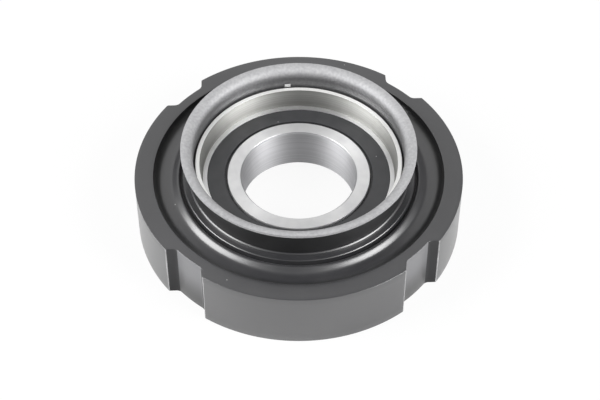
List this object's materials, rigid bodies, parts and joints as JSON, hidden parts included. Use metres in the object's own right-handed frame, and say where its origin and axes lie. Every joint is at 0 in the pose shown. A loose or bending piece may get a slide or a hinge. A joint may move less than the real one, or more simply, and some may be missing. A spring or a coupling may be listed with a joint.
{
  "type": "driveshaft centre bearing",
  "caption": "Sealed ball bearing in a flared steel sleeve that hangs in a lobed rubber ring. It carries the middle of a driveshaft.",
  "frame": {"origin": "on the shaft axis, in the plane of the rubber ring's foot", "axes": "+Z along the shaft axis towards the flared lip, +X through the middle of one lobe"},
  "size_m": [0.143, 0.143, 0.0439],
  "materials": {
    "moulded_rubber": "semi-matte moulded rubber",
    "sleeve_sheet": "fine-grained drawn sheet steel",
    "turned_steel": "turned and polished steel",
    "bearing_steel": "ground bearing steel",
    "seal_rubber": "matte moulded seal rubber",
    "cage_sheet": "pressed sheet steel",
    "ball_steel": "polished ball steel"
  },
  "bodies": {
    "mount": {"rubber_mount": "moulded_rubber", "inner_sleeve": "sleeve_sheet", "retaining_ring": "turned_steel", "bearing_outer_ring": "bearing_steel", "upper_seal": "seal_rubber", "lower_seal": "seal_rubber"},
    "inner_ring": {"bearing_inner_ring": "bearing_steel"},
    "cage": {"cage_upper_half": "cage_sheet", "cage_lower_half": "cage_sheet", "cage_rivets": "cage_sheet"},
    "ball_1": {"ball_1": "ball_steel"},
    "ball_2": {"ball_2": "ball_steel"},
    "ball_3": {"ball_3": "ball_steel"},
    "ball_4": {"ball_4": "ball_steel"},
    "ball_5": {"ball_5": "ball_steel"},
    "ball_6": {"ball_6": "ball_steel"},
    "ball_7": {"ball_7": "ball_steel"},
    "ball_8": {"ball_8": "ball_steel"},
    "ball_9": {"ball_9": "ball_steel"},
    "ball_10": {"ball_10": "ball_steel"}
  },
  "joints": [
    {"name": "inner_ring_spin", "type": "hinge", "parent": "mount", "child": "inner_ring", "pos_m": [0, 0, 0.0155], "axis": [0, 0, 1], "continuous": true},
    {"name": "cage_spin", "type": "hinge", "parent": "mount", "child": "cage", "pos_m": [0, 0, 0.0155], "axis": [0, 0, 1], "continuous": true},
    {"name": "ball_1_roll", "type": "hinge", "parent": "cage", "child": "ball_1", "pos_m": [0.035, 0, 0.0155], "axis": [0, 0, 1], "continuous": true},
    {"name": "ball_2_roll", "type": "hinge", "parent": "cage", "child": "ball_2", "pos_m": [0.02832, 0.02057, 0.0155], "axis": [0, 0, 1], "continuous": true},
    {"name": "ball_3_roll", "type": "hinge", "parent": "cage", "child": "ball_3", "pos_m": [0.01082, 0.03329, 0.0155], "axis": [0, 0, 1], "continuous": true},
    {"name": "ball_4_roll", "type": "hinge", "parent": "cage", "child": "ball_4", "pos_m": [-0.01082, 0.03329, 0.0155], "axis": [0, 0, 1], "continuous": true},
    {"name": "ball_5_roll", "type": "hinge", "parent": "cage", "child": "ball_5", "pos_m": [-0.02832, 0.02057, 0.0155], "axis": [0, 0, 1], "continuous": true},
    {"name": "ball_6_roll", "type": "hinge", "parent": "cage", "child": "ball_6", "pos_m": [-0.035, 0, 0.0155], "axis": [0, 0, 1], "continuous": true},
    {"name": "ball_7_roll", "type": "hinge", "parent": "cage", "child": "ball_7", "pos_m": [-0.02832, -0.02057, 0.0155], "axis": [0, 0, 1], "continuous": true},
    {"name": "ball_8_roll", "type": "hinge", "parent": "cage", "child": "ball_8", "pos_m": [-0.01082, -0.03329, 0.0155], "axis": [0, 0, 1], "continuous": true},
    {"name": "ball_9_roll", "type": "hinge", "parent": "cage", "child": "ball_9", "pos_m": [0.01082, -0.03329, 0.0155], "axis": [0, 0, 1], "continuous": true},
    {"name": "ball_10_roll", "type": "hinge", "parent": "cage", "child": "ball_10", "pos_m": [0.02832, -0.02057, 0.0155], "axis": [0, 0, 1], "continuous": true}
  ],
  "couplings": [
    {"joint": "cage_spin", "follows": "inner_ring_spin", "ratio": 0.40929},
    {"joint": "ball_1_roll", "follows": "inner_ring_spin", "ratio": -2.6652},
    {"joint": "ball_2_roll", "follows": "inner_ring_spin", "ratio": -2.6652},
    {"joint": "ball_3_roll", "follows": "inner_ring_spin", "ratio": -2.6652},
    {"joint": "ball_4_roll", "follows": "inner_ring_spin", "ratio": -2.6652},
    {"joint": "ball_5_roll", "follows": "inner_ring_spin", "ratio": -2.6652},
    {"joint": "ball_6_roll", "follows": "inner_ring_spin", "ratio": -2.6652},
    {"joint": "ball_7_roll", "follows": "inner_ring_spin", "ratio": -2.6652},
    {"joint": "ball_8_roll", "follows": "inner_ring_spin", "ratio": -2.6652},
    {"joint": "ball_9_roll", "follows": "inner_ring_spin", "ratio": -2.6652},
    {"joint": "ball_10_roll", "follows": "inner_ring_spin", "ratio": -2.6652}
  ]
}
